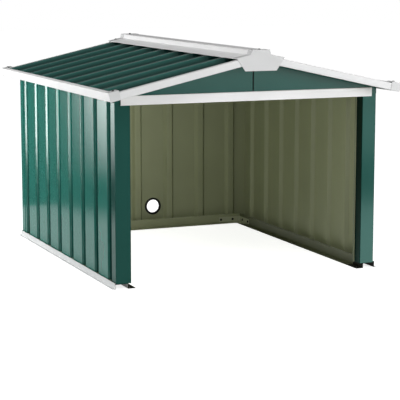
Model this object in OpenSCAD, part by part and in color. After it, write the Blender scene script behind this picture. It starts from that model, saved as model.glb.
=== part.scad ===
// Garage for a robot lawn mower: folded base rails, ribbed steel walls, a ribbed
// gable roof with white edge trims, and an open front. All lengths in millimetres.
// X runs across the opening, Y from the open front (-Y) to the back wall, Z is up.
// The origin is on the ground, at the middle of the walls' outline.

/* [Walls] */
// Width over the outside of the corner posts
wall_w = 792; // [740:1:860]
// Depth from the front of the posts to the outside of the back corners
wall_d = 898; // [820:1:1000]
// Height of the walls' and posts' top edge above the ground
wall_h = 505; // [440:1:600]

/* [Roof] */
// Slope of the roof in degrees
roof_pitch = 12.5; // [10.5:0.1:14.5]
// Height from the walls' top edge up to the roof sheet, at the walls' outside
eave_gap = 28; // [24:0.5:34]
// How far the roof reaches past the front and back of the walls
roof_overhang = 69; // [50:1:90]
// How far the eave trims reach past the side walls
eave_reach = 40; // [36:0.5:60]

/* [Ribs] */
// Distance between two ribs
rib_pitch = 112; // [100:1:120]
// Width of a rib at its open side
rib_mouth = 34; // [30:1:38]
// Width of a rib's flat bottom
rib_floor = 18; // [14:1:20]
// Depth of a rib
rib_depth = 11; // [8:0.5:12]
// Shift of the side walls' ribs along the depth
side_rib_shift = -5; // [-8:1:0]
// Shift of the roof's ribs along the depth
roof_rib_shift = 26; // [20:0.5:30]

/* [Sheets] */
// Thickness of the wall and roof sheets
sheet_t = 1; // [0.8:0.1:1.1]
// Thickness of the folded rails and trims
trim_t = 1.2; // [1:0.1:1.4]
// Inner radius of a fold
fold_r = 1; // [0.6:0.1:1.4]

/* [Base rail] */
// Height of the rail's inner leg
rail_h = 29; // [24:1:34]
// Height of the ledge that walls and posts stand on
ledge_h = 14.5; // [12:0.5:16]
// How far the outer leg stands above the ledge
upstand = 2.5; // [1.5:0.5:4]
// Distance from the walls' outline in to the inner leg
leg_inset = 35; // [30:1:40]
// Width of the flange that lies on the ground inside
flange_w = 21; // [18:1:24]
// Diameter of the ground peg holes in the flange
peg_hole_d = 7; // [5:0.5:8]

/* [Posts and lintel] */
// Width of a post's front face
post_face = 44.5; // [40:0.5:50]
// Depth of a post's outer return
post_return = 32; // [28:1:32]
// Depth of a post's inner return
inner_return = 31; // [26:1:36]
// Height of the lintel's face
lintel_h = 25.5; // [22:0.5:32]
// Distance from the wall's top edge down to the lintel's bottom
lintel_drop = 7; // [4:0.5:12]

/* [Cable grommet] */
// Inner diameter of the grommet
grommet_bore = 43; // [36:1:44]
// Diameter of the hole in the sheet
grommet_hole = 48; // [48:1:50]
// Outer diameter of the grommet's flanges
grommet_d = 57; // [54:1:60]
// Height of the grommet's centre above the ground
grommet_z = 68; // [60:1:90]

/* [Hidden] */

// Colours
green = "#40766B";
roof_green = "#375A52";
white = "#E6E7E7";
black = "#1B1C1C";
back_coat = "#8B8E74";

// Walls' outline and the planes of the sheets, measured from the middle
half_w = wall_w / 2;
half_d = wall_d / 2;
sheet_x = half_w - trim_t;
sheet_y = half_d - trim_t;
front_y = -half_d + trim_t;

// Roof: the slope frame's x runs down the slope, its z stands on the rib tops
slope_rise = tan(roof_pitch);
slope_stretch = 1 / cos(roof_pitch);
valley_top = -rib_depth;
valley_bottom = -rib_depth - sheet_t;
roof_peak = wall_h + eave_gap + half_w * slope_rise - valley_bottom * slope_stretch;
slope_len = (half_w + eave_reach) * slope_stretch;
roof_end = half_d + roof_overhang;
roof_sheet_end = roof_end - trim_t;
slope_start = 8;

// Trims along the roof's edges: the rakes' top lies lower than the eaves' top
trim_face = 24.5;
trim_flange = 13;
rake_drop = 4;
rake_top = trim_t - rake_drop;
trim_low = trim_t - trim_face;
eave_back = slope_len - trim_t;
eave_flange_x = slope_len - trim_flange;

// Ridge cap
cap_flat = 24;
cap_foot = 28;
cap_reach = 71;
cap_z = roof_peak + 7.6;
cap_end_depth = 27;
cap_end_drop = 48.5;
cap_end_half = 46.5;

// Corner pieces of the eaves
end_w = 29;
end_depth = 29;
end_t = 1;

// Rails under the roof
top_leg_h = 26;
top_flange = 16;
top_seat = wall_h + fold_r;

// Corner brackets of the base rails: two arms on the legs, a gusset on the flanges
bracket_arm = 76;
bracket_h = 17;
bracket_z = trim_t + 1.3 * fold_r;
bracket_t = 1.6;
bracket_hole_d = 5;
bracket_holes = [27, 70];
gusset_leg = 55;

// Gables: the plates meet in a folded seam beside the middle
seam_x = 8;
seam_flange = 14;
seam_edge = 2.4;
seam_sink = 0.6;
gable_flange = 36;
gable_flange_start = 12;

// Front posts and lintel
post_lip = 5;
lintel_depth = 4;
lintel_inset = 16.5;

// Cable grommet
grommet_flange_t = 2;
grommet_edge = 0.8;
grommet_x = rib_pitch / 2;

// Base rail: distances from the walls' outline, inwards positive
rail_out = -3;
rail_lip = -10;
flange_tip = leg_inset + flange_w;
peg_inset = 16;
peg_line = leg_inset + 10;

// Steps of a fold's arc, and how far a cutter passes a face
arc_steps = 3;
cut = 0.5;

// ---- Folded sections ------------------------------------------------------------

function unit(v) = v / norm(v);
function left_of(v) = [-v[1], v[0]];
function turn(a, b) = a[0] * b[1] - a[1] * b[0];

// Point of an outline, rounded with an arc of radius r
function rounded_corner(a, p, b, r) =
    let (
        da = unit(a - p),
        db = unit(b - p),
        half = acos(max(-1, min(1, da * db))) / 2,
        reach = r / tan(half),
        centre = p + unit(da + db) * r / sin(half),
        from = p + da * reach - centre,
        to = p + db * reach - centre,
        a0 = atan2(from[1], from[0]),
        raw = atan2(to[1], to[0]) - a0,
        sweep = raw > 180 ? raw - 360 : raw < -180 ? raw + 360 : raw
    )
    [for (k = [0 : arc_steps]) centre + r * [cos(a0 + sweep * k / arc_steps), sin(a0 + sweep * k / arc_steps)]];

// Outline from [x, y, radius] points
function rounded(pts) =
    let (n = len(pts))
    [for (i = [0 : n - 1])
        let (
            a = pts[(i + n - 1) % n],
            p = pts[i],
            b = pts[(i + 1) % n]
        )
        for (q = p[2] > 0
            ? rounded_corner([a[0], a[1]], [p[0], p[1]], [b[0], b[1]], p[2])
            : [[p[0], p[1]]]) q];

// Radius of a corner on one face of a bent sheet: face is -1 on the path, +1 on the offset face
function bend_radius(path, i, t, face) =
    (i == 0 || i == len(path) - 1) ? 0
    : turn(path[i] - path[i - 1], path[i + 1] - path[i]) * face * t > 0 ? fold_r
    : fold_r + abs(t);

// Corner of the path moved t to the left
function left_corner(path, i, t) =
    let (
        last = len(path) - 1,
        before = unit(path[max(i, 1)] - path[max(i, 1) - 1]),
        after = unit(path[min(i, last - 1) + 1] - path[min(i, last - 1)]),
        n1 = left_of(before),
        n2 = left_of(after)
    )
    path[i] + t * (n1 + n2) / (1 + n1 * n2);

// The whole path moved t to the left
function moved_left(path, t) = [for (i = [0 : len(path) - 1]) left_corner(path, i, t)];

// Section of a sheet t thick, bent along a path that is one of its faces; t > 0 lies on its left
function bent(path, t) =
    let (last = len(path) - 1)
    rounded(concat(
        [for (i = [0 : last]) [path[i][0], path[i][1], bend_radius(path, i, t, -1)]],
        [for (k = [0 : last])
            let (i = last - k, q = left_corner(path, i, t))
            [q[0], q[1], bend_radius(path, i, t, 1)]]
    ));

// Face line of a ribbed sheet from s0 to s1, its ribs sunk to depth d
function ribbed_path(s0, s1, centres, d) = concat(
    [[s0, 0]],
    [for (c = centres)
        for (q = [
            [c - rib_mouth / 2, 0],
            [c - rib_floor / 2, d],
            [c + rib_floor / 2, d],
            [c + rib_mouth / 2, 0]
        ]) q],
    [[s1, 0]]
);

// Centres of n ribs, spread evenly about shift
function rib_row(n, shift) = [for (k = [0 : n - 1]) (k - (n - 1) / 2) * rib_pitch + shift];

side_ribs = rib_row(floor(wall_d / rib_pitch), side_rib_shift);
back_ribs = rib_row(2 * floor((half_w - rib_mouth) / rib_pitch) + 1, 0);
roof_ribs = rib_row(floor(2 * roof_sheet_end / rib_pitch), roof_rib_shift);

// Half section of the base rail: distance from the outline inwards, height
rail_section = [
    [rail_lip, 0, 0],
    [rail_out + trim_t, 0, 0],
    [rail_out + trim_t, ledge_h - trim_t, fold_r],
    [leg_inset - trim_t, ledge_h - trim_t, fold_r],
    [leg_inset - trim_t, 0, fold_r],
    [flange_tip, 0, 0],
    [flange_tip, trim_t, 0],
    [leg_inset, trim_t, fold_r],
    [leg_inset, rail_h, 0],
    [leg_inset - trim_t, rail_h, 0],
    [leg_inset - trim_t, ledge_h, 0],
    [rail_out + trim_t, ledge_h, 0],
    [rail_out + trim_t, ledge_h + upstand, 0],
    [rail_out, ledge_h + upstand, 0],
    [rail_out, trim_t, fold_r],
    [rail_lip, trim_t, 0]
];

// ---- Placing helpers ------------------------------------------------------------

// Section in (x, z) run along the depth from y0 to y1
module along_y(y0, y1) {
    translate([0, y1, 0])
        rotate([90, 0, 0])
            linear_extrude(y1 - y0)
                children();
}

// Section in (y, z) run along the width from x0 to x1
module along_x(x0, x1) {
    translate([x0, 0, 0])
        rotate([90, 0, 90])
            linear_extrude(x1 - x0)
                children();
}

// Puts a shape from the right-hand slope frame in its place
module on_slope() {
    translate([0, 0, roof_peak])
        rotate([0, roof_pitch, 0])
            children();
}

module left_side() {
    mirror([1, 0, 0])
        children();
}

module back_side() {
    mirror([0, 1, 0])
        children();
}

// Height of a line parallel to the roof, z off its rib tops, at a distance x from the peak
function roof_z(x, z) = roof_peak + z * slope_stretch - x * slope_rise;

// ---- Base rails -----------------------------------------------------------------

// Region behind the mitre line of the right-hand back corner
module mitre_region() {
    reach = 2 * flange_tip;
    corner = [half_w, half_d];
    translate([0, 0, -cut])
        linear_extrude(rail_h + 2 * cut)
            polygon([corner - [reach, reach], corner + [reach, reach], corner + [-reach, 2 * reach]]);
}

// Right-hand rail: its inner leg is notched to stand behind the post's face
module base_rail_side() {
    front = -half_d - trim_t;
    difference() {
        along_y(front, half_d - rail_lip)
            polygon(rounded([for (p = rail_section) [half_w - p[0], p[1], p[2]]]));
        mitre_region();
        translate([half_w - flange_tip, front - cut, ledge_h])
            cube([flange_w + 2 * trim_t, front_y - front + cut, rail_h]);
        for (y = [-half_d + peg_inset, half_d - leg_inset - gusset_leg - peg_inset])
            translate([half_w - peg_line, y, -cut])
                cylinder(h = trim_t + 2 * cut, d = peg_hole_d, $fn = 32);
    }
}

module base_rail_right() {
    color(white)
        base_rail_side();
}

module base_rail_left() {
    color(white)
        left_side()
            base_rail_side();
}

// Region beside the mitre line, on the outer side
module beside_mitre() {
    reach = 2 * flange_tip;
    corner = [half_w, half_d];
    translate([0, 0, -cut])
        linear_extrude(rail_h + 2 * cut)
            polygon([corner - [reach, reach], corner + [reach, -reach], corner + [reach, reach]]);
}

module base_rail_back() {
    color(white)
        difference() {
            along_x(-half_w + rail_lip, half_w - rail_lip)
                polygon(rounded([for (p = rail_section) [half_d - p[0], p[1], p[2]]]));
            beside_mitre();
            left_side()
                beside_mitre();
        }
}

// Angle bracket that joins two base rails
module corner_bracket() {
    x1 = half_w - leg_inset;
    y1 = half_d - leg_inset;
    gusset_x = x1 - fold_r;
    gusset_y = y1 - fold_r;
    difference() {
        union() {
            translate([0, 0, bracket_z])
                linear_extrude(bracket_h)
                    polygon(bent([[x1, y1 - bracket_arm], [x1, y1], [x1 - bracket_arm, y1]], bracket_t));
            translate([0, 0, trim_t])
                linear_extrude(bracket_t)
                    polygon([
                        [gusset_x, gusset_y],
                        [x1 - gusset_leg, gusset_y],
                        [gusset_x, y1 - gusset_leg]
                    ]);
        }
        for (s = bracket_holes) {
            translate([x1 - s, y1 + cut, bracket_z + bracket_h / 2])
                rotate([90, 0, 0])
                    cylinder(h = bracket_t + 2 * cut, d = bracket_hole_d, $fn = 24);
            translate([x1 - bracket_t - cut, y1 - s, bracket_z + bracket_h / 2])
                rotate([0, 90, 0])
                    cylinder(h = bracket_t + 2 * cut, d = bracket_hole_d, $fn = 24);
        }
    }
}

module corner_bracket_right() {
    color(back_coat)
        corner_bracket();
}

module corner_bracket_left() {
    color(back_coat)
        left_side()
            corner_bracket();
}

// ---- Walls ----------------------------------------------------------------------

// Right-hand wall: flats outside, ribs sunk inwards
module side_wall() {
    face = ribbed_path(front_y + fold_r, sheet_y - sheet_t, side_ribs, rib_depth);
    translate([0, 0, ledge_h])
        linear_extrude(wall_h - ledge_h)
            polygon(bent([for (p = face) [sheet_x - p[1], p[0]]], sheet_t));
}

module wall_right() {
    color(green)
        side_wall();
}

module wall_left() {
    color(green)
        left_side()
            side_wall();
}

module wall_back() {
    face = ribbed_path(fold_r - sheet_x, sheet_x - fold_r, back_ribs, rib_depth);
    turned = [for (i = [len(face) - 1 : -1 : 0]) [face[i][0], sheet_y - face[i][1]]];
    color(green)
        difference() {
            translate([0, 0, ledge_h])
                linear_extrude(wall_h - ledge_h)
                    polygon(bent(turned, sheet_t));
            translate([grommet_x, sheet_y + cut, grommet_z])
                rotate([90, 0, 0])
                    cylinder(h = sheet_t + 2 * cut, d = grommet_hole, $fn = 64);
        }
}

module cable_grommet() {
    inner = grommet_bore / 2;
    hole = grommet_hole / 2;
    outer = grommet_d / 2;
    edge = grommet_edge;
    back = grommet_flange_t;
    front = -sheet_t - grommet_flange_t;
    color(black)
        translate([grommet_x, sheet_y, grommet_z])
            rotate([-90, 0, 0])
                rotate_extrude($fn = 64)
                    polygon([
                        [inner, front + edge], [inner + edge, front],
                        [outer - edge, front], [outer, front + edge],
                        [outer, -sheet_t], [hole, -sheet_t], [hole, 0], [outer, 0],
                        [outer, back - edge], [outer - edge, back],
                        [inner + edge, back], [inner, back - edge]
                    ]);
}

// ---- Posts and corners ----------------------------------------------------------

// Channel post at the right-hand side of the opening, with a small stiffening lip
module front_post() {
    y0 = -half_d;
    x0 = half_w - post_face;
    section = [
        [x0 - post_lip, y0 + inner_return],
        [x0, y0 + inner_return],
        [x0, y0],
        [half_w, y0],
        [half_w, y0 + post_return]
    ];
    translate([0, 0, ledge_h])
        linear_extrude(wall_h - ledge_h)
            polygon(bent(section, trim_t));
}

module front_post_right() {
    color(green)
        front_post();
}

module front_post_left() {
    color(green)
        left_side()
            front_post();
}

// Angle over the outside of a back corner
module back_corner() {
    section = [
        [half_w, half_d - post_return],
        [half_w, half_d],
        [half_w - post_face, half_d]
    ];
    translate([0, 0, ledge_h])
        linear_extrude(wall_h - ledge_h)
            polygon(bent(section, trim_t));
}

module back_corner_right() {
    color(green)
        back_corner();
}

module back_corner_left() {
    color(green)
        left_side()
            back_corner();
}

// ---- Rails under the roof -------------------------------------------------------

// Folded rail that holds the top of a side wall and carries the roof's edge
module top_rail() {
    wall_inner = sheet_x - rib_depth - sheet_t;
    section = [
        [wall_inner, wall_h - top_leg_h],
        [wall_inner, top_seat],
        [half_w, top_seat],
        [half_w, roof_z(half_w, valley_bottom)],
        [half_w - top_flange, roof_z(half_w - top_flange, valley_bottom)]
    ];
    along_y(front_y, sheet_y - sheet_t)
        polygon(bent(section, trim_t));
}

module top_rail_right() {
    color(green)
        top_rail();
}

module top_rail_left() {
    color(green)
        left_side()
            top_rail();
}

// Angle over the back wall's top edge
module top_rail_back() {
    wall_inner = sheet_y - rib_depth - sheet_t;
    half_span = sheet_x - rib_depth - sheet_t - trim_t;
    color(green)
        along_x(-half_span, half_span)
            polygon(bent([
                [wall_inner, wall_h - top_leg_h],
                [wall_inner, top_seat],
                [sheet_y, top_seat]
            ], trim_t));
}

// White channel over the opening, with a flange between the posts
module front_lintel() {
    y0 = -half_d;
    y1 = y0 - lintel_depth;
    z0 = wall_h - lintel_drop;
    z1 = z0 + lintel_h;
    half_face = half_w - lintel_inset;
    half_gap = half_w - post_face;
    color(white)
        union() {
            along_x(-half_face, half_face)
                polygon(bent([[y0, z0], [y1, z0], [y1, z1], [y0, z1]], -trim_t));
            translate([-half_gap, y0 - cut, z0])
                cube([2 * half_gap, inner_return - fold_r + cut, trim_t]);
        }
}

// ---- Gables ---------------------------------------------------------------------

// Outline in (x, z) under the right-hand slope, from x0 out to x1
module under_slope(x0, x1) {
    polygon([
        [x0, wall_h],
        [x1, wall_h],
        [x1, roof_z(x1, valley_bottom)],
        [x0, roof_z(x0, valley_bottom)]
    ]);
}

// Strip under the roof sheet, along the right-hand slope from x0 to x1
module gable_top_flange(x0, x1) {
    on_slope()
        translate([x0 * slope_stretch, -half_d, valley_bottom - trim_t])
            cube([(x1 - x0) * slope_stretch, gable_flange, trim_t]);
}

// Flange folded inwards along the seam
module seam_fold(x0) {
    z0 = top_seat + trim_t;
    translate([x0, -half_d + seam_sink, z0])
        cube([trim_t, seam_flange - seam_sink, roof_z(seam_x, valley_bottom) - z0 - 2 * trim_t]);
}

// Groove that the two rounded edges leave along the seam
module seam_groove() {
    translate([seam_x, -half_d, 0])
        rotate([0, 0, 45])
            cube([seam_edge, seam_edge, 2 * roof_peak], center = true);
}

// Plate right of the seam
module gable_right_plate() {
    union() {
        difference() {
            along_y(-half_d, front_y)
                under_slope(seam_x, half_w);
            seam_groove();
        }
        seam_fold(seam_x);
        gable_top_flange(seam_x + gable_flange_start, half_w - top_flange);
    }
}

// Plate left of the seam: it passes the peak by seam_x
module gable_left_plate() {
    union() {
        difference() {
            along_y(-half_d, front_y)
                union() {
                    under_slope(0, seam_x);
                    mirror([1, 0])
                        under_slope(0, half_w);
                }
            seam_groove();
        }
        seam_fold(seam_x - trim_t);
        left_side()
            gable_top_flange(gable_flange_start, half_w - top_flange);
    }
}

module gable_front_right() {
    color(green)
        gable_right_plate();
}

module gable_front_left() {
    color(green)
        gable_left_plate();
}

module gable_back_right() {
    color(green)
        back_side()
            gable_right_plate();
}

module gable_back_left() {
    color(green)
        back_side()
            gable_left_plate();
}

// ---- Roof -----------------------------------------------------------------------

// Right-hand roof sheet: wide flats with narrow ribs raised on top
module roof_sheet() {
    face = ribbed_path(-roof_sheet_end, roof_sheet_end, roof_ribs, rib_depth);
    turned = [for (i = [len(face) - 1 : -1 : 0]) [face[i][0], valley_top + face[i][1]]];
    on_slope()
        along_x(slope_start, eave_back - fold_r)
            polygon(bent(turned, sheet_t));
}

module roof_right() {
    color(roof_green)
        roof_sheet();
}

module roof_left() {
    color(roof_green)
        left_side()
            roof_sheet();
}

// Lower face of the ridge cap, lying on the rib tops
cap_path = [
    [-cap_reach, roof_z(cap_reach, 0)],
    [-cap_foot, roof_z(cap_foot, 0)],
    [-cap_flat, cap_z - trim_t],
    [cap_flat, cap_z - trim_t],
    [cap_foot, roof_z(cap_foot, 0)],
    [cap_reach, roof_z(cap_reach, 0)]
];

module ridge_cap() {
    color(white)
        along_y(-roof_sheet_end, roof_sheet_end)
            polygon(bent(cap_path, trim_t));
}

// Plate that closes the ridge cap's end, with a flange over the cap
module ridge_end() {
    y1 = -roof_end;
    low = roof_peak - cap_end_drop;
    color(white)
        union() {
            along_y(y1 - trim_t, y1)
                polygon(concat([[cap_end_half, low], [-cap_end_half, low]], moved_left(cap_path, 2 * trim_t)));
            along_y(y1 - trim_t, y1 + cap_end_depth)
                polygon(bent(moved_left(cap_path, trim_t), trim_t));
        }
}

module ridge_end_front() {
    ridge_end();
}

module ridge_end_back() {
    back_side()
        ridge_end();
}

// ---- Roof edge trims ------------------------------------------------------------

// Channel over the front edge of the right-hand slope; its face closes the eave trim's end
module rake_trim() {
    color(white)
        on_slope()
            union() {
                along_x(slope_start, eave_flange_x)
                    polygon(bent([
                        [-roof_end + trim_flange, rake_top],
                        [-roof_end, rake_top],
                        [-roof_end, trim_low],
                        [-roof_end + trim_flange, trim_low]
                    ], trim_t));
                translate([eave_flange_x - cut, -roof_end, trim_low])
                    cube([trim_flange + cut, trim_t, trim_face]);
            }
}

module rake_trim_front_right() {
    rake_trim();
}

module rake_trim_front_left() {
    left_side()
        rake_trim();
}

module rake_trim_back_right() {
    back_side()
        rake_trim();
}

module rake_trim_back_left() {
    left_side()
        back_side()
            rake_trim();
}

// Channel along the lower edge of the right-hand slope, between the rake trims' faces
module eave_trim() {
    color(white)
        on_slope()
            along_y(-roof_sheet_end, roof_sheet_end)
                polygon(bent([
                    [eave_flange_x, trim_t],
                    [slope_len, trim_t],
                    [slope_len, trim_low],
                    [eave_flange_x, trim_low]
                ], -trim_t));
}

module eave_trim_right() {
    eave_trim();
}

module eave_trim_left() {
    left_side()
        eave_trim();
}

// Corner piece at the front end of the right-hand eave
module eave_end() {
    x0 = slope_len - end_w;
    y0 = -roof_end - end_t;
    color(white)
        on_slope()
            union() {
                translate([x0, y0, trim_low])
                    cube([end_w, end_t, trim_face + end_t]);
                translate([x0, y0, trim_t])
                    cube([end_w, end_depth, end_t]);
            }
}

module eave_end_front_right() {
    eave_end();
}

module eave_end_front_left() {
    left_side()
        eave_end();
}

module eave_end_back_right() {
    back_side()
        eave_end();
}

module eave_end_back_left() {
    left_side()
        back_side()
            eave_end();
}

base_rail_left();
base_rail_right();
base_rail_back();
corner_bracket_left();
corner_bracket_right();
wall_left();
wall_right();
wall_back();
cable_grommet();
front_post_left();
front_post_right();
back_corner_left();
back_corner_right();
top_rail_left();
top_rail_right();
top_rail_back();
front_lintel();
gable_front_left();
gable_front_right();
gable_back_left();
gable_back_right();
roof_left();
roof_right();
ridge_cap();
ridge_end_front();
ridge_end_back();
rake_trim_front_left();
rake_trim_front_right();
rake_trim_back_left();
rake_trim_back_right();
eave_trim_left();
eave_trim_right();
eave_end_front_left();
eave_end_front_right();
eave_end_back_left();
eave_end_back_right();
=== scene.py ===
"""Robot mower garage: paints for the folded sheet steel, the screws that hold it, and a plain studio."""

import math

import bpy
from bpy.props import FloatProperty, FloatVectorProperty, PointerProperty
from mathutils import Matrix, Vector


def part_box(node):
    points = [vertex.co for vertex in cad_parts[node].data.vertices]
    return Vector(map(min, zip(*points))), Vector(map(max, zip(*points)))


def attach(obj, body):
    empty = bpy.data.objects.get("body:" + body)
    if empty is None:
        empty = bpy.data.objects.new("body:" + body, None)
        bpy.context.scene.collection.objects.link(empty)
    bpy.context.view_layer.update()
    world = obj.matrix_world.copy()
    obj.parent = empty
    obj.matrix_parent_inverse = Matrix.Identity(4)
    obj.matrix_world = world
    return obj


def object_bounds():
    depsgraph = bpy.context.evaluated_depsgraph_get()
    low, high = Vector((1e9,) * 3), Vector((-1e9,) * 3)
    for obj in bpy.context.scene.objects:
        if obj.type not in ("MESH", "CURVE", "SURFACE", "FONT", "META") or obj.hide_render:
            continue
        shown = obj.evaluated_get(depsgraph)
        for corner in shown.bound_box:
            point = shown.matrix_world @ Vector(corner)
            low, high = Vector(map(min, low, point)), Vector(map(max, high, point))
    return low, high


bl_info = {
    "name": "Robot Mower Garage",
    "version": (1, 0, 0),
    "blender": (4, 5, 0),
    "location": "View3D > Sidebar > Garage",
    "description": "Paints, screws and studio for a sheet steel garage for a robot mower",
    "category": "Object",
}

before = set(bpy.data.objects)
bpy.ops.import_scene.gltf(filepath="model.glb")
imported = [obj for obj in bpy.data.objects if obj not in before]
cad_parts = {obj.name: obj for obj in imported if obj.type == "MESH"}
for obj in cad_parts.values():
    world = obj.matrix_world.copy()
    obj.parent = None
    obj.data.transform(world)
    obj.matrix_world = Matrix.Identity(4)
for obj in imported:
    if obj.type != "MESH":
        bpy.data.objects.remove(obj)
cad_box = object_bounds()

# Level that the garage stands on
GROUND = Vector(cad_box[0]).z

# Margin beside a fold, so that no test falls exactly on a face
SKIN = 0.0005

# Masks that keep one coordinate of a place
AXIS_MASKS = {"X": (1, 0, 0), "Y": (0, 1, 0), "Z": (0, 0, 1)}


# ---- Settings -------------------------------------------------------------------


def colour(name, description, default):
    """Colour property with the channels that a shader takes."""
    return FloatVectorProperty(
        name=name, description=description, default=default, min=0, max=1, subtype="COLOR"
    )


def roughness(name, default):
    """Roughness property, from 0 for a mirror to 1 for matt."""
    return FloatProperty(
        name=name, description="Lower is glossier", default=default, min=0, max=1, subtype="FACTOR"
    )


class GaragePaints(bpy.types.PropertyGroup):
    """Colours and gloss of the coatings; the darker copies of the green, the white and the back coat are
    painted shade.
    """

    green: colour("Green", "Coat on the walls, the top rails and the back corners", (0.019, 0.158, 0.124))
    # The posts' green is the wall green made darker: painted shade
    post_green_shaded: colour("Post green", "Coat on the outside of the front posts", (0.019, 0.098, 0.080))
    # The gables' green is the wall green made darker: painted shade
    gable_green_shaded: colour("Gable green", "Coat on the outside of the gables", (0.016, 0.088, 0.072))
    roof_green: colour("Roof green", "Coat on top of the roof sheets", (0.034, 0.152, 0.128))
    white: colour("White", "Coat on the lintel, the ridge cap and the eaves", (0.80, 0.80, 0.80))
    # The rakes' white is the trim white made darker: painted shade
    rake_white_shaded: colour("Rake white", "Coat on the trims of the sloping edges", (0.67, 0.675, 0.675))
    # The end plates' and corners' white is the trim white made darker: painted shade
    plate_white_shaded: colour("Plate white", "Coat on the roof's end plates and corners", (0.575, 0.58, 0.58))
    # The rails' white is the trim white made darker near the ground: painted shade
    rail_white_shaded: colour("Rail white", "Coat on the outside of the base rails", (0.64, 0.65, 0.65))
    back_coat: colour("Back coat", "Dull coat on the inside of the sheets", (0.292, 0.315, 0.190))
    # Darker copy of the back coat inside the side rails: painted shade
    rail_back_shaded: colour("Rail back coat", "Dull coat on the inside of the side rails", (0.105, 0.116, 0.064))
    bracket: colour("Bracket", "Coat on the corner brackets", (0.400, 0.420, 0.290))
    grommet: colour("Grommet", "Moulded ring round the cable hole", (0.003, 0.003, 0.003))
    screw: colour("Screw", "Blackened screw heads", (0.030, 0.030, 0.031))
    green_roughness: roughness("Green roughness", 0.14)
    white_roughness: roughness("White roughness", 0.38)
    back_roughness: roughness("Back coat roughness", 0.5)
    sheet_wave: FloatProperty(
        name="Sheet wave",
        description="Height of the long waves that thin sheet shows in its reflections",
        default=0.0005,
        min=0,
        max=0.003,
        subtype="DISTANCE",
        unit="LENGTH",
    )


class GarageStudio(bpy.types.PropertyGroup):
    """Camera and studio."""

    camera_place: FloatVectorProperty(
        name="Camera place",
        description="Where the camera stands",
        default=(-1.7297, -4.1966, 0.8688),
        subtype="TRANSLATION",
        unit="LENGTH",
    )
    camera_heading: FloatProperty(
        name="Camera heading",
        description="Turn from looking along +Y towards +X",
        default=math.radians(22.86),
        subtype="ANGLE",
        unit="ROTATION",
    )
    camera_dip: FloatProperty(
        name="Camera dip",
        description="How far the camera looks down",
        default=math.radians(8.92),
        subtype="ANGLE",
        unit="ROTATION",
    )
    lens: FloatProperty(
        name="Lens",
        description="Focal length in millimetres",
        default=135.07,
        min=10,
        max=400,
        subtype="DISTANCE_CAMERA",
    )
    floor_size: FloatProperty(
        name="Floor size",
        description="Side of the floor",
        default=30,
        min=2,
        subtype="DISTANCE",
        unit="LENGTH",
    )
    floor_colour: colour("Floor colour", "Plain pale floor", (0.8, 0.8, 0.8))
    world_strength: FloatProperty(name="World", description="Even light from all round", default=0.3, min=0)
    floor_glow: FloatProperty(
        name="Floor glow", description="Light that the floor shows to the camera", default=0.8, min=0
    )
    floor_mirror_glow: FloatProperty(
        name="Floor mirror glow",
        description="Light that the floor shows in the sheets' gloss",
        default=0.55,
        min=0,
    )
    pool_radius: FloatProperty(
        name="Pool radius",
        description="How far round the garage its sheets mirror a bright floor",
        default=0.97,
        min=0.5,
        subtype="DISTANCE",
        unit="LENGTH",
    )


# ---- Shader helpers -------------------------------------------------------------


def new_material(name):
    """Empty node material with its output and one Principled shader."""
    material = bpy.data.materials.new(name)
    material.use_nodes = True
    tree = material.node_tree
    tree.nodes.clear()
    output = tree.nodes.new("ShaderNodeOutputMaterial")
    shader = tree.nodes.new("ShaderNodeBsdfPrincipled")
    tree.links.new(shader.outputs["BSDF"], output.inputs["Surface"])
    return material, tree, shader


def place_on_object(tree):
    """Coordinates in metres from the object's origin."""
    return tree.nodes.new("ShaderNodeTexCoord").outputs["Object"]


def facing_on_object(tree):
    """Direction that the surface faces."""
    return tree.nodes.new("ShaderNodeTexCoord").outputs["Normal"]


def feed(tree, socket, value):
    """Puts a number, a colour or another node's output into a socket."""
    if isinstance(value, bpy.types.NodeSocket):
        tree.links.new(value, socket)
    else:
        socket.default_value = value


def math_node(tree, operation, first, second=0.0):
    """Result of one Math node."""
    node = tree.nodes.new("ShaderNodeMath")
    node.operation = operation
    feed(tree, node.inputs[0], first)
    feed(tree, node.inputs[1], second)
    return node.outputs[0]


def vector_node(tree, operation, first, second, output="Vector"):
    """Result of one Vector Math node."""
    node = tree.nodes.new("ShaderNodeVectorMath")
    node.operation = operation
    feed(tree, node.inputs[0], first)
    feed(tree, node.inputs[1], second)
    return node.outputs[output]


def axis_value(tree, place, axis):
    """One coordinate of a place."""
    split = tree.nodes.new("ShaderNodeSeparateXYZ")
    tree.links.new(place, split.inputs["Vector"])
    return split.outputs[axis]


def blend_colours(tree, share, first, second):
    """Colour between first, at share 0, and second, at share 1."""
    node = tree.nodes.new("ShaderNodeMix")
    node.data_type = "RGBA"
    feed(tree, node.inputs["Factor"], share)
    feed(tree, node.inputs["A"], first)
    feed(tree, node.inputs["B"], second)
    return node.outputs["Result"]


def blend_values(tree, share, first, second):
    """Number between first, at share 0, and second, at share 1."""
    node = tree.nodes.new("ShaderNodeMapRange")
    feed(tree, node.inputs["Value"], share)
    feed(tree, node.inputs["To Min"], first)
    feed(tree, node.inputs["To Max"], second)
    return node.outputs["Result"]


def fade_between(tree, value, dark, bright):
    """0 at the dark value and beyond it, 1 at the bright value, and an even fade between."""
    ramp = tree.nodes.new("ShaderNodeMapRange")
    ramp.inputs["From Min"].default_value = dark
    ramp.inputs["From Max"].default_value = bright
    feed(tree, ramp.inputs["Value"], value)
    return ramp.outputs["Result"]


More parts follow.
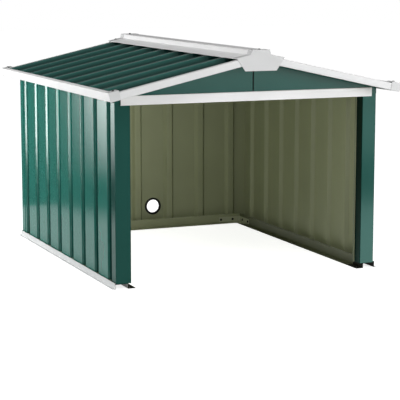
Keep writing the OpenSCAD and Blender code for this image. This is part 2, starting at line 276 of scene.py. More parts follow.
def noise(tree, place, scale, stretch=(1, 1, 1), detail=2.0):
    """Noise with scale lumps to the metre, fewer of them along an axis whose stretch is under 1."""
    mapping = tree.nodes.new("ShaderNodeMapping")
    mapping.inputs["Scale"].default_value = stretch
    tree.links.new(place, mapping.inputs["Vector"])
    texture = tree.nodes.new("ShaderNodeTexNoise")
    texture.inputs["Scale"].default_value = scale
    texture.inputs["Detail"].default_value = detail
    tree.links.new(mapping.outputs["Vector"], texture.inputs["Vector"])
    return texture.outputs["Fac"]


def bump(tree, height, depth, under=None):
    """Surface tilted by a height map, on top of another bump."""
    node = tree.nodes.new("ShaderNodeBump")
    node.inputs["Distance"].default_value = depth
    tree.links.new(height, node.inputs["Height"])
    if under is not None:
        tree.links.new(under, node.inputs["Normal"])
    return node.outputs["Normal"]


def opaque(rgb):
    """RGB with full alpha."""
    return (*rgb, 1.0)


# ---- Paints ---------------------------------------------------------------------

# Long waves of thin sheet, and the fine grain of its baked coating and of the fittings
WAVES_TO_METRE = 5.0
WAVE_STRETCH = (1, 1, 0.4)
GRAINS_TO_METRE = 420.0
GRAIN_HEIGHT = 0.0000007
FITTING_GRAIN_HEIGHT = 0.00002

# Cloudiness of a coat: its colour is multiplied in deep clouds, and multiplied and lifted in pale ones
CLOUDS_TO_METRE = 7.0
DEEP_CLOUD = 0.93
PALE_CLOUD = 1.06
PALE_LIFT = 0.002

# Haze that a coat's roughness gets: lumps to the metre, and the most that they add
SHEET_HAZE = (16.0, 0.04)
TRIM_HAZE = (20.0, 0.08)

# Clear coat over the green, and the metal that shows through it on the posts
CLEAR_COAT = 0.3
POST_CLEAR_COAT = 0.1
CLEAR_COAT_ROUGHNESS = 0.08
POST_METALLIC = 0.3

# Shades: the share of the coat's colour that they keep, their roughness and their metal
GROOVE_SHADE = {"keep": 0.2, "roughness": 0.5, "metallic": 1.0}
SEAM_SHADE = {"keep": 0.05, "roughness": 0.6}
RETURN_SHADE = {"keep": 0.34, "roughness": 0.5, "metallic": 1.0}
VALLEY_SHADE = {"keep": 0.34, "roughness": 0.2}
FOOT_SHADE = {"keep": 0.05, "roughness": 0.9}

# Depth of the walls' grooves and height of the roof's ribs
RIB_DEPTH = 0.011

# Shares of a groove's depth over which the shade on its slopes sets in, and over which it ends
GROOVE_SHADE_START = (0.36, 0.55)
GROOVE_SHADE_END = (0.93, 0.98)

# A front post's lip beside the opening, and the strip of its return behind the lip
POST_LIP = 0.005
RETURN_STRIP = 0.0016

# Dark line where the two plates of a gable meet
SEAM_WIDTH = 0.0034

# Distances from the ridge cap over which its shade on the roof ends
CAP_SHADE = (0.0086, 0.03)

# Base rails: length of the painted shade at the front end of the inside, outer upstand, and ledge under the
# rail's top
FOOT_LENGTH = 0.058
UPSTAND_WIDTH = 0.0075
LEDGE_DROP = 0.004

# Facing times distance from the middle, above which a face looks outwards
SHEET_OUTWARD = 0.0002
RAIL_OUTWARD = 0.1

# Upward share of a face's normal, above which the face is part of a top
TOP_FACING = 0.9


def sheet_relief(tree, place, wave):
    """Long waves of thin sheet, with the fine grain of its baked coating."""
    lumps = noise(tree, place, WAVES_TO_METRE, stretch=WAVE_STRETCH, detail=1.0)
    return bump(tree, noise(tree, place, GRAINS_TO_METRE), GRAIN_HEIGHT, under=bump(tree, lumps, wave))


def coating(tree, place, rgb):
    """Coat colour with the slight cloudiness that a large sheet shows."""
    clouds = noise(tree, place, CLOUDS_TO_METRE, detail=3.0)
    deep = opaque([c * DEEP_CLOUD for c in rgb])
    pale = opaque([min(1.0, c * PALE_CLOUD + PALE_LIFT) for c in rgb])
    return blend_colours(tree, clouds, deep, pale)


def hazy(tree, place, base, lumps_to_metre, most):
    """Roughness with a cloudy haze added."""
    haze = math_node(tree, "MULTIPLY", noise(tree, place, lumps_to_metre), most)
    return math_node(tree, "ADD", base, haze)


def coat_layer(tree, place, coat, shade):
    """Colour, roughness and metal of one coat, darkened where its shade is 0."""
    rgb = coating(tree, place, coat["rgb"])
    rough = coat["roughness"]
    metal = coat.get("metallic", 0.0)
    if shade:
        clear = shade["where"](tree, place)
        deep = opaque([c * shade["keep"] for c in coat["rgb"]])
        rgb = blend_colours(tree, clear, deep, rgb)
        rough = blend_values(tree, clear, shade["roughness"], rough)
        if "metallic" in shade:
            metal = blend_values(tree, clear, shade["metallic"], metal)
    return rgb, rough, metal


def two_sided_sheet(name, outer, back, outside, outer_shade=None, back_shade=None):
    """Sheet with one coat outside and another inside, each with a shade where one is given."""
    material, tree, shader = new_material(name)
    place = place_on_object(tree)
    share = outside(tree, place)
    back_layer = coat_layer(tree, place, back, back_shade)
    outer_layer = coat_layer(tree, place, outer, outer_shade)
    rgb, rough, metal = zip(back_layer, outer_layer)
    feed(tree, shader.inputs["Base Color"], blend_colours(tree, share, *rgb))
    rough_share = blend_values(tree, share, *rough)
    feed(tree, shader.inputs["Roughness"], hazy(tree, place, rough_share, *SHEET_HAZE))
    if any(metal):
        feed(tree, shader.inputs["Metallic"], blend_values(tree, share, *metal))
    if "coat" in outer:
        weight = math_node(tree, "MULTIPLY", share, outer["coat"])
        if outer_shade:
            weight = math_node(tree, "MULTIPLY", weight, outer_shade["where"](tree, place))
        feed(tree, shader.inputs["Coat Weight"], weight)
        shader.inputs["Coat Roughness"].default_value = CLEAR_COAT_ROUGHNESS
    feed(tree, shader.inputs["Normal"], sheet_relief(tree, place, outer["wave"]))
    return material


def looks_along(tree, heading, least):
    """1 where the surface's facing times a heading is above a least product."""
    facing = vector_node(tree, "DOT_PRODUCT", facing_on_object(tree), heading, output="Value")
    return math_node(tree, "GREATER_THAN", facing, least)


def away_from_middle(axis):
    """Outside test for a sheet whose outer face looks away from the garage's middle on an axis."""

    def test(tree, place):
        heading = vector_node(tree, "MULTIPLY", place, AXIS_MASKS[axis])
        return looks_along(tree, heading, SHEET_OUTWARD)

    return test


def away_from_fold(name):
    """Outside test for a channel or angle, folded round an upright line in the middle of its box."""
    low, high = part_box(name)
    middle = (low + high) / 2

    def test(tree, place):
        level = vector_node(tree, "MULTIPLY", place, (1, 1, 0))
        heading = vector_node(tree, "SUBTRACT", level, (middle.x, middle.y, 0))
        return looks_along(tree, heading, 0.0)

    return test


def rail_outside(axis, leg, upstand, ledge):
    """Outside test for a rail: its leg's outer face, its ledge on top, and all of its upstand."""

    def test(tree, place):
        reach = math_node(tree, "ABSOLUTE", axis_value(tree, place, axis))
        far = math_node(tree, "GREATER_THAN", reach, leg)
        heading = vector_node(tree, "MULTIPLY", place, AXIS_MASKS[axis])
        outward = looks_along(tree, heading, RAIL_OUTWARD)
        high = math_node(tree, "GREATER_THAN", axis_value(tree, place, "Z"), ledge)
        shown = math_node(tree, "MULTIPLY", far, math_node(tree, "MAXIMUM", outward, high))
        return math_node(tree, "MAXIMUM", shown, math_node(tree, "GREATER_THAN", reach, upstand))

    return test


def groove_shade(axis, wall):
    """Shade on the lower part of the slopes of a wall's grooves; their floors stay clear."""
    face = getattr(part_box(wall)[1], axis.lower())
    start_high, start_low = (face - RIB_DEPTH * share for share in GROOVE_SHADE_START)
    end_high, end_low = (face - RIB_DEPTH * share for share in GROOVE_SHADE_END)

    def shade(tree, place):
        reach = math_node(tree, "ABSOLUTE", axis_value(tree, place, axis))
        mouth = fade_between(tree, reach, start_low, start_high)
        floor = fade_between(tree, reach, end_high, end_low)
        return math_node(tree, "MAXIMUM", mouth, floor)

    return shade


def strip_shade(tree, value, low, high):
    """0 in the strip between two values, and 1 on either side of it."""
    before = math_node(tree, "LESS_THAN", value, low)
    after = math_node(tree, "GREATER_THAN", value, high)
    return math_node(tree, "MAXIMUM", before, after)


def return_shade(name):
    """Shade on a front post's return, beside its lip."""
    low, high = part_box(name)
    inner = min(abs(low.x), abs(high.x)) + POST_LIP

    def shade(tree, place):
        reach = math_node(tree, "ABSOLUTE", axis_value(tree, place, "X"))
        return strip_shade(tree, reach, inner - SKIN, inner + RETURN_STRIP)

    return shade


def seam_shade():
    """Shade in the seam between the two plates of a gable."""
    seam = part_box("gable_front_right")[0].x

    def shade(tree, place):
        return strip_shade(tree, axis_value(tree, place, "X"), seam - SKIN, seam + SEAM_WIDTH)

    return shade


def foot_shade():
    """Shade on the side rails' front end."""
    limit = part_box("base_rail_left")[0].y + FOOT_LENGTH

    def shade(tree, place):
        return math_node(tree, "GREATER_THAN", axis_value(tree, place, "Y"), limit)

    return shade


def valley_shade():
    """Shade in the roof's valleys and beside the ridge cap; the tops of the ribs stay clear."""
    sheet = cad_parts["roof_right"].data
    tops = [face for face in sheet.polygons if face.normal.z > TOP_FACING]
    widest = max(tops, key=lambda face: face.area)
    slope = -widest.normal.x / widest.normal.z
    crest = max(corner.co.z - abs(corner.co.x) * slope for corner in sheet.vertices)
    cap_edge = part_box("ridge_cap")[1].x
    shade_low, shade_high = (cap_edge + distance for distance in CAP_SHADE)

    def shade(tree, place):
        reach = math_node(tree, "ABSOLUTE", axis_value(tree, place, "X"))
        fall = math_node(tree, "MULTIPLY", reach, slope)
        level = math_node(tree, "SUBTRACT", axis_value(tree, place, "Z"), fall)
        rise = fade_between(tree, level, crest - RIB_DEPTH, crest - SKIN)
        past_cap = fade_between(tree, reach, shade_low, shade_high)
        return math_node(tree, "MULTIPLY", rise, past_cap)

    return shade


def back_of(paints):
    """Dull coat on the inside of the sheets."""
    return {"rgb": paints.back_coat, "roughness": paints.back_roughness}


def give(material, *names):
    """Gives a material to CAD nodes."""
    for name in names:
        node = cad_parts[name]
        node.data.materials.clear()
        node.data.materials.append(material)


def both_sides(stem):
    """Left and right names of a node."""
    return f"{stem}_left", f"{stem}_right"


# ---- Operators ------------------------------------------------------------------


class GARAGE_OT_green_sheets(bpy.types.Operator):
    """Paint the walls, posts, corners, top rails and gables green outside, the posts and gables in a darker
    green as painted shade
    """

    bl_idname = "garage.green_sheets"
    bl_label = "Green Sheets"

    def execute(self, context):
        paints = context.scene.garage_paints
        gloss = {"roughness": paints.green_roughness, "coat": CLEAR_COAT, "wave": paints.sheet_wave}
        green = {"rgb": paints.green, **gloss}
        # Darker green on the gables: painted shade
        gable = {"rgb": paints.gable_green_shaded, **gloss}
        # Darker green on the posts: painted shade
        post = {"rgb": paints.post_green_shaded, **gloss, "coat": POST_CLEAR_COAT, "metallic": POST_METALLIC}
        back = back_of(paints)
        for axis, wall, names, rails in (
            ("X", "wall_right", both_sides("wall"), both_sides("top_rail")),
            ("Y", "wall_back", ["wall_back"], ["top_rail_back"]),
        ):
            outside = away_from_middle(axis)
            shade = {"where": groove_shade(axis, wall), **GROOVE_SHADE}
            give(two_sided_sheet(f"green_{wall}", green, back, outside, shade), *names)
            give(two_sided_sheet(f"green_rail_{axis}", green, back, outside), *rails)
        shade = {"where": seam_shade(), **SEAM_SHADE}
        gable_sheet = two_sided_sheet("green_gable", gable, back, away_from_middle("Y"), shade)
        give(gable_sheet, *both_sides("gable_front"), *both_sides("gable_back"))
        for name in both_sides("front_post"):
            shade = {"where": return_shade(name), **RETURN_SHADE}
            give(two_sided_sheet(f"green_{name}", post, back, away_from_fold(name), shade), name)
        for name in both_sides("back_corner"):
            give(two_sided_sheet(f"green_{name}", green, back, away_from_fold(name)), name)
        return {"FINISHED"}


class GARAGE_OT_roof_sheets(bpy.types.Operator):
    """Paint the roof sheets green on top"""

    bl_idname = "garage.roof_sheets"
    bl_label = "Roof Sheets"

    def execute(self, context):
        paints = context.scene.garage_paints
        top = {"rgb": paints.roof_green, "roughness": paints.green_roughness, "wave": paints.sheet_wave}
        shade = {"where": valley_shade(), **VALLEY_SHADE}
        outside = away_from_middle("Z")
        give(two_sided_sheet("green_roof_sheet", top, back_of(paints), outside, shade), *both_sides("roof"))
        return {"FINISHED"}


class GARAGE_OT_white_trims(bpy.types.Operator):
    """Paint the lintel and the roof's trims white, the rakes, end plates and corners in darker whites as
    painted shade
    """

    bl_idname = "garage.white_trims"
    bl_label = "White Trims"

    def execute(self, context):
        paints = context.scene.garage_paints
        rakes = [*both_sides("rake_trim_front"), *both_sides("rake_trim_back")]
        corners = [*both_sides("eave_end_front"), *both_sides("eave_end_back")]
        for label, rgb, names in (
            ("white_trim", paints.white, ["front_lintel", "ridge_cap", *both_sides("eave_trim")]),
            # Darker white on the rakes: painted shade
            ("white_rake_shaded", paints.rake_white_shaded, rakes),
            # Darker white on the end plates and corners: painted shade
            ("white_plate_shaded", paints.plate_white_shaded, ["ridge_end_front", "ridge_end_back", *corners]),
        ):
            material, tree, shader = new_material(label)
            place = place_on_object(tree)
            feed(tree, shader.inputs["Base Color"], coating(tree, place, rgb))
            rough = hazy(tree, place, paints.white_roughness, *TRIM_HAZE)
            feed(tree, shader.inputs["Roughness"], rough)
            feed(tree, shader.inputs["Normal"], sheet_relief(tree, place, paints.sheet_wave))
            give(material, *names)
        return {"FINISHED"}


class GARAGE_OT_base_rails(bpy.types.Operator):
    """Paint the base rails a darker white outside and the back coat inside; the darker white, the side
    rails' darker back coat and their near-black front ends are painted shade
    """

    bl_idname = "garage.base_rails"
    bl_label = "Base Rails"

    def execute(self, context):
        paints = context.scene.garage_paints
        # Darker white on the base rails: painted shade
        white = {"rgb": paints.rail_white_shaded, "roughness": paints.white_roughness, "wave": paints.sheet_wave}
        # The corner brackets lie against the inside of the rails' legs
        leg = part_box("corner_bracket_right")[1]
        rail_low, rail_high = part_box("base_rail_left")
        ledge = rail_high.z - LEDGE_DROP
        side = rail_outside("X", leg.x + SKIN, -rail_low.x - UPSTAND_WIDTH, ledge)
        # Darker back coat inside the side rails: painted shade
        side_back = {"rgb": paints.rail_back_shaded, "roughness": paints.back_roughness}
        foot = {"where": foot_shade(), **FOOT_SHADE}
        side_rail = two_sided_sheet("base_rail_side", white, side_back, side, back_shade=foot)
        give(side_rail, *both_sides("base_rail"))
        end = rail_outside("Y", leg.y + SKIN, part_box("base_rail_back")[1].y - UPSTAND_WIDTH, ledge)
        give(two_sided_sheet("base_rail_end", white, back_of(paints), end), "base_rail_back")
        return {"FINISHED"}


class GARAGE_OT_fittings(bpy.types.Operator):
    """Finish the corner brackets and the cable grommet"""

    bl_idname = "garage.fittings"
    bl_label = "Brackets and Grommet"

    def execute(self, context):
        paints = context.scene.garage_paints
        for label, rgb, rough, grains_to_metre, names in (
            ("bracket_coat", paints.bracket, 0.45, 600.0, both_sides("corner_bracket")),
            ("grommet_rubber", paints.grommet, 0.8, 900.0, ["cable_grommet"]),
        ):
            material, tree, shader = new_material(label)
            place = place_on_object(tree)
            feed(tree, shader.inputs["Base Color"], coating(tree, place, rgb))
            shader.inputs["Roughness"].default_value = rough
            grain = bump(tree, noise(tree, place, grains_to_metre), FITTING_GRAIN_HEIGHT)
            feed(tree, shader.inputs["Normal"], grain)
            give(material, *names)
        return {"FINISHED"}


class GARAGE_OT_screws(bpy.types.Operator):
    """Model one screw with its washer, and set a copy in each place"""

    bl_idname = "garage.screws"
    bl_label = "Screws"

    def execute(self, context):
        paints = context.scene.garage_paints
        material, tree, shader = new_material("black_screw")
        place = place_on_object(tree)
        feed(tree, shader.inputs["Base Color"], coating(tree, place, paints.screw))
        shader.inputs["Metallic"].default_value = SCREW_METALLIC
        rough = blend_values(tree, noise(tree, place, SCREW_LUMPS_TO_METRE), *SCREW_ROUGHNESS)
        feed(tree, shader.inputs["Roughness"], rough)
        master = model_screw(material)
        for name, spot, heading in roof_screw_places() + bracket_bolt_places():
            set_screw(master, name, spot, heading)
        bpy.data.objects.remove(master)
        return {"FINISHED"}


class GARAGE_OT_studio(bpy.types.Operator):
    """Set up the floor, the lamps and the camera"""

    bl_idname = "garage.studio"
    bl_label = "Studio"

    def execute(self, context):
        studio = context.scene.garage_studio
        context.scene.view_settings.view_transform = "Standard"
        place_camera(context, studio)
        make_world(context, studio)
        make_floor(studio)
        make_cards(studio)
        make_lamps()
        return {"FINISHED"}


# ---- Screws ---------------------------------------------------------------------

SCREW_METALLIC = 0.6
SCREW_ROUGHNESS = (0.3, 0.5)
SCREW_LUMPS_TO_METRE = 700.0

# Washer and pan head: sides of their round, radius, height of foot and top, and rounding of the top edge
SCREW_SIDES = 24
WASHER_RADIUS = 0.0042
WASHER_FOOT = -0.0002
WASHER_TOP = 0.0006
WASHER_ROUNDING = 0.0003
HEAD_RADIUS = 0.0032
HEAD_FOOT = 0.0005
HEAD_TOP = 0.0024
HEAD_ROUNDING = 0.0009

# Driver recess: metal left round it, its depth, and how much narrower its floor is
RECESS_RIM = 0.0010
RECESS_DEPTH = 0.0010
RECESS_TAPER = 0.7

# Faces that meet at less than this angle are shaded as one
SMOOTH_ANGLE = math.radians(35)

# Upward share of a face's normal, above which the face is the head's flat middle
FLAT_FACING = 0.99

# Where the outer screws of the back ridge plate sit, as a share of its half width
OUTER_SCREW = 0.7

# Bolts of a corner bracket: distances along an arm from the legs' corner, height, and plate under them
BOLT_STEPS = (0.027, 0.070)
BOLT_HEIGHT = 0.011
BRACKET_PLATE = 0.0016

# Height above every piece, from which a place on top is looked for
OVERHEAD = 1.0


def select_faces(piece, chosen):
    """Selects the faces that pass a test, and nothing else."""
    bpy.ops.object.mode_set(mode="EDIT")
    bpy.ops.mesh.select_mode(type="FACE")
    bpy.ops.mesh.select_all(action="DESELECT")
    bpy.ops.object.mode_set(mode="OBJECT")
    for face in piece.data.polygons:
        face.select = chosen(face)
    bpy.ops.object.mode_set(mode="EDIT")


def add_disc(radius, low, high):
    """Round blank between two heights, the only piece that is selected."""
    bpy.ops.object.select_all(action="DESELECT")
    bpy.ops.mesh.primitive_cylinder_add(
        vertices=SCREW_SIDES, radius=radius, depth=high - low, location=(0, 0, (low + high) / 2)
    )
    piece = bpy.context.object
    bpy.ops.object.transform_apply(location=True, rotation=True, scale=True)
    return piece


def model_screw(material):
    """Pan-head screw with a driver recess, on a washer, its seat at the origin and its head upwards."""
    washer = add_disc(WASHER_RADIUS, WASHER_FOOT, WASHER_TOP)
    select_faces(washer, lambda face: face.normal.z > TOP_FACING)
    bpy.ops.mesh.bevel(offset=WASHER_ROUNDING, segments=2)
    bpy.ops.object.mode_set(mode="OBJECT")
    head = add_disc(HEAD_RADIUS, HEAD_FOOT, HEAD_TOP)
    select_faces(head, lambda face: face.normal.z > TOP_FACING)
    bpy.ops.mesh.bevel(offset=HEAD_ROUNDING, segments=3)
    select_faces(head, lambda face: face.normal.z > FLAT_FACING)
    bpy.ops.mesh.inset(thickness=RECESS_RIM)
    bpy.ops.mesh.extrude_region_move(TRANSFORM_OT_translate={"value": (0, 0, -RECESS_DEPTH)})
    bpy.ops.transform.resize(value=(RECESS_TAPER, RECESS_TAPER, 1))
    bpy.ops.object.mode_set(mode="OBJECT")
    washer.select_set(True)
    bpy.ops.object.join()
    bpy.ops.object.shade_smooth_by_angle(angle=SMOOTH_ANGLE)
    head.name = "screw"
    head.data.materials.clear()
    head.data.materials.append(material)
    return head


def set_screw(master, name, spot, heading):
    """Copy of the screw with its own mesh, its seat at a spot and its head along a heading."""
    screw = bpy.data.objects.new(name, master.data.copy())
    bpy.context.scene.collection.objects.link(screw)
    turn = heading.to_track_quat("Z", "Y").to_matrix().to_4x4()
    screw.matrix_world = Matrix.Translation(spot) @ turn
    bpy.ops.object.select_all(action="DESELECT")
    screw.select_set(True)
    bpy.context.view_layer.objects.active = screw
    bpy.ops.object.transform_apply(location=True, rotation=True, scale=True)
    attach(screw, "root")


def top_of(name, x, y):
    """Highest point of a node over x, y, and the direction that it faces there."""
    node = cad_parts[name]
    found, spot, facing, _ = node.ray_cast(Vector((x, y, OVERHEAD)), Vector((0, 0, -1)))
    if not found:
        raise RuntimeError(f"{name} has no surface at {x}, {y}")
    return spot, facing


def roof_screw_places():
    """Screws through the ridge's end plates and the eaves' corner pieces."""
    places = []
    for end in ("front", "back"):
        low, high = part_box(f"ridge_end_{end}")
        y = (low.y + high.y) / 2
        screws = [("middle", 0.0)]
        if end == "back":
            screws += [("left", low.x * OUTER_SCREW), ("right", high.x * OUTER_SCREW)]
        for label, x in screws:
            spot, facing = top_of(f"ridge_end_{end}", x, y)
            places.append((f"ridge_screw_{end}_{label}", spot, facing))
        for side in ("left", "right"):
            corner = f"eave_end_{end}_{side}"
            low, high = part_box(corner)
            spot, facing = top_of(corner, (low.x + high.x) / 2, (low.y + high.y) / 2)
            places.append((f"eave_screw_{end}_{side}", spot, facing))
    return places


def bracket_bolt_places():
    """Bolts through the arms of both corner brackets, their heads inside."""
    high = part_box("corner_bracket_right")[1]
    places = []
    for side, sign in (("left", -1), ("right", 1)):
        for count, step in enumerate(BOLT_STEPS, 1):
            spot = Vector((sign * (high.x - step), high.y - BRACKET_PLATE, BOLT_HEIGHT))
            places.append((f"bracket_bolt_{side}_back_{count}", spot, Vector((0, -1, 0))))
            spot = Vector((sign * (high.x - BRACKET_PLATE), high.y - step, BOLT_HEIGHT))
            places.append((f"bracket_bolt_{side}_side_{count}", spot, Vector((-sign, 0, 0))))
    return places


# ---- Studio ---------------------------------------------------------------------

SENSOR_WIDTH = 36

# Softboxes: name, place, target, width, height and power in watts
SOFTBOXES = (
    ("left_softbox", (-2.2, 1.7, 0.9), (-0.4, 0.1, 0.3), 0.9, 1.2, 72),
    ("front_softbox", (1.9, -3.0, 0.7), (0, 0, 0.25), 1.2, 1.2, 63),
    ("fill_softbox", (-1.6, -3.0, 0.5), (0, 0.2, 0.3), 1.2, 0.8, 4),
    ("top_softbox", (0.3, -2.2, 2.9), (0, 0, 0.4), 2.0, 1.4, 29),
    ("bay_softbox", (-0.2, 0.05, 0.38), (-0.17, 0.45, 0.34), 0.1, 0.14, 0.56),
    ("bay_front_softbox", (-0.26, -0.38, 0.39), (0.39, -0.14, 0.41), 0.12, 0.12, 0.6),
    ("opening_softbox", (0, -0.46, 0.36), (0, 0.4, 0.44), 0.66, 0.18, 0.12),
)

# Upright cards: name, two opposite corners, strength, and along an axis where it fades from 0 to full
UPRIGHT_CARDS = (
    ("left_card", (-1.25, -0.5, 0.1), (-1.25, -0.15, 0.9), 20.0, {"Z": (0.1, 0.24)}),
    ("left_edge_card", (-1.25, -0.74, 0.1), (-1.25, -0.5, 0.9), 6.0, {"Z": (0.1, 0.24)}),
    ("bright_back_card", (-1.3, 1.19, 0.1), (-1.1, 1.19, 0.6), 14.0, {"Z": (0.1, 0.5)}),
    ("back_left_card", (-1.3, 1.2, 0.04), (-0.8, 1.2, 0.5), 4.7, {"X": (-0.83, -0.99), "Z": (0.04, 0.45)}),
    ("gable_card", (0.55, -2.65, 0.3), (1.35, -2.65, 0.6), 0.8, {}),
    ("right_post_card", (1.35, -2.65, 0.02), (2.2, -2.65, 1.0), 0.8, {}),
)

# Cards that lie on the floor, given in the same way
FLOOR_CARDS = (
    ("dark_floor_card", (-0.8, -1.5), (0.25, -0.47), 0.05, {}),
    ("bright_floor_card", (0.3, -1.5), (1.2, -0.47), 1.5, {}),
    ("side_floor_card", (-0.68, -0.5), (-0.41, 1.0), 0.55, {"X": (-0.37, -0.46)}),
)
FLOOR_CARD_LEVEL = 0.002

# Dark tent: sides of its round, radius, heights of its foot and top, and radius of the hole in its top
TENT_SIDES = 64
TENT_RADIUS = 4.3
TENT_FOOT = 0.001
TENT_TOP = 4.5
TENT_VENT = 0.01

# Its brightness low and high, the heights between which that changes, and the brightness of the pool
TENT_LOW_GLOW = 0.03
TENT_HIGH_GLOW = 0.13
TENT_FADE = (0.9, 1.5)
POOL_GLOW = 0.9

# Shares of the pool's radius between which its light fades out
POOL_EDGE = (0.75, 1.25)


def place_camera(context, studio):
    """Camera in front of the garage, towards its left side and above its roof."""
    camera = bpy.data.cameras.new("camera")
    camera.lens = studio.lens
    camera.sensor_width = SENSOR_WIDTH
    holder = bpy.data.objects.new("camera", camera)
    context.scene.collection.objects.link(holder)
    holder.location = studio.camera_place
    holder.rotation_euler = (math.pi / 2 - studio.camera_dip, 0, -studio.camera_heading)
    context.scene.camera = holder


def seen_directly(tree):
    """1 for rays that show the background: straight from the camera, mirrored or through glass."""
    path = tree.nodes.new("ShaderNodeLightPath")
    mirrored = math_node(tree, "MAXIMUM", path.outputs["Is Camera Ray"], path.outputs["Is Glossy Ray"])
    return math_node(tree, "MAXIMUM", mirrored, path.outputs["Is Transmission Ray"])


def make_world(context, studio):
    """White background, and a weaker even light on the object."""
    world = bpy.data.worlds.new("studio")
    context.scene.world = world
    world.use_nodes = True
    tree = world.node_tree
    tree.nodes.clear()
    output = tree.nodes.new("ShaderNodeOutputWorld")
    background = tree.nodes.new("ShaderNodeBackground")
    background.inputs["Color"].default_value = (1, 1, 1, 1)
    strength = blend_values(tree, seen_directly(tree), studio.world_strength, 1.0)
    feed(tree, background.inputs["Strength"], strength)
    tree.links.new(background.outputs["Background"], output.inputs["Surface"])


def stage_mesh(name, points, faces, material):
    """Part of the studio, made of a few faces."""
    mesh = bpy.data.meshes.new(name)
    mesh.from_pydata(points, [], faces)
    mesh.update()
    piece = bpy.data.objects.new(name, mesh)
    bpy.context.scene.collection.objects.link(piece)
    mesh.materials.append(material)
    return piece


def studio_material(name):
    """Empty node material with its output."""
    material = bpy.data.materials.new(name)
    material.use_nodes = True
    tree = material.node_tree
    tree.nodes.clear()
    output = tree.nodes.new("ShaderNodeOutputMaterial")
    return material, tree, output.inputs["Surface"]


def make_floor(studio):
    """Pale floor that melts into the background and keeps the garage's shadow."""
    material, tree, surface = studio_material("pale_floor")
    diffuse = tree.nodes.new("ShaderNodeBsdfDiffuse")
    diffuse.inputs["Color"].default_value = opaque(studio.floor_colour)
    glow = tree.nodes.new("ShaderNodeEmission")
    path = tree.nodes.new("ShaderNodeLightPath")
    direct = math_node(tree, "MAXIMUM", path.outputs["Is Camera Ray"], path.outputs["Is Transmission Ray"])
    shown = math_node(tree, "MULTIPLY", direct, studio.floor_glow)
    mirrored = math_node(tree, "MULTIPLY", path.outputs["Is Glossy Ray"], studio.floor_mirror_glow)
    feed(tree, glow.inputs["Strength"], math_node(tree, "ADD", shown, mirrored))
    total = tree.nodes.new("ShaderNodeAddShader")
    tree.links.new(diffuse.outputs["BSDF"], total.inputs[0])
    tree.links.new(glow.outputs["Emission"], total.inputs[1])
    tree.links.new(total.outputs["Shader"], surface)
    half = studio.floor_size / 2
    height = GROUND - SKIN
    corners = [(-half, -half, height), (half, -half, height), (half, half, height), (-half, half, height)]
    stage_mesh("floor", corners, [(0, 1, 2, 3)], material)


def only_mirrored(piece):
    """Leaves a card to the sheets' reflections: it lights nothing and the camera doesn't see it."""
    piece.visible_camera = False
    piece.visible_diffuse = False
    piece.visible_transmission = False
    piece.visible_volume_scatter = False
    piece.visible_shadow = False


def glow_material(name):
    """Material that only glows, with its tree, its place in the studio and its strength's socket."""
    material, tree, surface = studio_material(name)
    glow = tree.nodes.new("ShaderNodeEmission")
    tree.links.new(glow.outputs["Emission"], surface)
    place = tree.nodes.new("ShaderNodeNewGeometry").outputs["Position"]
    return material, tree, place, glow.inputs["Strength"]


def glow_card(name, corners, strength, fades):
    """Card between four corners, as bright as its strength where no fade along an axis dims it."""
    material, tree, place, strength_socket = glow_material(name)
    level = strength
    for axis, (dark, bright) in fades.items():
        fade = fade_between(tree, axis_value(tree, place, axis), dark, bright)
        level = math_node(tree, "MULTIPLY", fade, level)
    feed(tree, strength_socket, level)
    only_mirrored(stage_mesh(name, corners, [(0, 1, 2, 3)], material))


def add_upright_card(name, low, high, strength, fades):
    """Upright card between two opposite corners."""
    (x0, y0, z0), (x1, y1, z1) = low, high
    glow_card(name, [(x0, y0, z0), (x1, y1, z0), (x1, y1, z1), (x0, y0, z1)], strength, fades)


def add_floor_card(name, low, high, strength, fades):
    """Card that lies on the floor between two opposite corners."""
    (x0, y0), (x1, y1) = low, high
    outline = ((x0, y0), (x1, y0), (x1, y1), (x0, y1))
    glow_card(name, [(x, y, FLOOR_CARD_LEVEL) for x, y in outline], strength, fades)


def add_dark_tent(studio):
    """Dark cloth round the bright floor, up round the garage and over it, for the sheets to mirror."""
    inner, outer = (studio.pool_radius * share for share in POOL_EDGE)
    material, tree, place, strength_socket = glow_material("dark_cloth")
    level = vector_node(tree, "MULTIPLY", place, (1, 1, 0))
    reach = vector_node(tree, "LENGTH", level, (0, 0, 0), output="Value")
    pool = fade_between(tree, reach, outer, inner)
    rise = fade_between(tree, axis_value(tree, place, "Z"), *TENT_FADE)
    cloth = blend_values(tree, rise, TENT_LOW_GLOW, TENT_HIGH_GLOW)
    feed(tree, strength_socket, blend_values(tree, pool, cloth, POOL_GLOW))
    profile = [(inner, TENT_FOOT), (TENT_RADIUS, TENT_FOOT), (TENT_RADIUS, TENT_TOP), (TENT_VENT, TENT_TOP)]
    turns = [2 * math.pi * step / TENT_SIDES for step in range(TENT_SIDES)]
    points = [
        (radius * math.cos(turn), radius * math.sin(turn), height)
        for radius, height in profile
        for turn in turns
    ]
    faces = []
    for ring in range(0, len(points) - TENT_SIDES, TENT_SIDES):
        for step in range(TENT_SIDES):
            after = (step + 1) % TENT_SIDES
            above = ring + TENT_SIDES
            faces.append((ring + step, ring + after, above + after, above + step))
    only_mirrored(stage_mesh("dark_tent", points, faces, material))


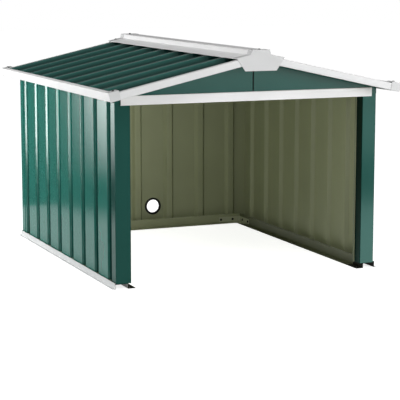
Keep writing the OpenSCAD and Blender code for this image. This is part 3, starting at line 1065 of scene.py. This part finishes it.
def add_softbox(name, place, target, width, height, power):
    """Area lamp at a place, turned to a target."""
    lamp = bpy.data.lights.new(name, "AREA")
    lamp.shape = "RECTANGLE"
    lamp.size = width
    lamp.size_y = height
    lamp.energy = power
    holder = bpy.data.objects.new(name, lamp)
    bpy.context.scene.collection.objects.link(holder)
    holder.location = place
    heading = Vector(target) - Vector(place)
    holder.rotation_euler = heading.to_track_quat("-Z", "Y").to_euler()
    holder.visible_camera = False
    holder.visible_glossy = False


def make_lamps():
    """Softboxes round the garage and inside its bay."""
    for softbox in SOFTBOXES:
        add_softbox(*softbox)


def make_cards(studio):
    """What the glossy sheets mirror."""
    add_dark_tent(studio)
    for card in UPRIGHT_CARDS:
        add_upright_card(*card)
    for card in FLOOR_CARDS:
        add_floor_card(*card)


# ---- Add-on ---------------------------------------------------------------------

STEPS = (
    GARAGE_OT_green_sheets,
    GARAGE_OT_roof_sheets,
    GARAGE_OT_white_trims,
    GARAGE_OT_base_rails,
    GARAGE_OT_fittings,
    GARAGE_OT_screws,
    GARAGE_OT_studio,
)


class GARAGE_PT_panel(bpy.types.Panel):
    """Sidebar panel with the garage's settings and steps"""

    bl_idname = "GARAGE_PT_panel"
    bl_label = "Robot Mower Garage"
    bl_space_type = "VIEW_3D"
    bl_region_type = "UI"
    bl_category = "Garage"

    def draw(self, context):
        for settings in (context.scene.garage_paints, context.scene.garage_studio):
            box = self.layout.box()
            for name in type(settings).__annotations__:
                box.prop(settings, name)
        for step in STEPS:
            self.layout.operator(step.bl_idname)


CLASSES = (GaragePaints, GarageStudio, *STEPS, GARAGE_PT_panel)


def register():
    """Add the settings, the steps and the panel."""
    for cls in CLASSES:
        bpy.utils.register_class(cls)
    bpy.types.Scene.garage_paints = PointerProperty(type=GaragePaints)
    bpy.types.Scene.garage_studio = PointerProperty(type=GarageStudio)


def unregister():
    """Take them away again."""
    del bpy.types.Scene.garage_studio
    del bpy.types.Scene.garage_paints
    for cls in reversed(CLASSES):
        bpy.utils.unregister_class(cls)


def main():
    """Run the steps in order."""
    register()
    for step in STEPS:
        area, action = step.bl_idname.split(".")
        getattr(getattr(bpy.ops, area), action)()


if __name__ == "__main__":
    main()
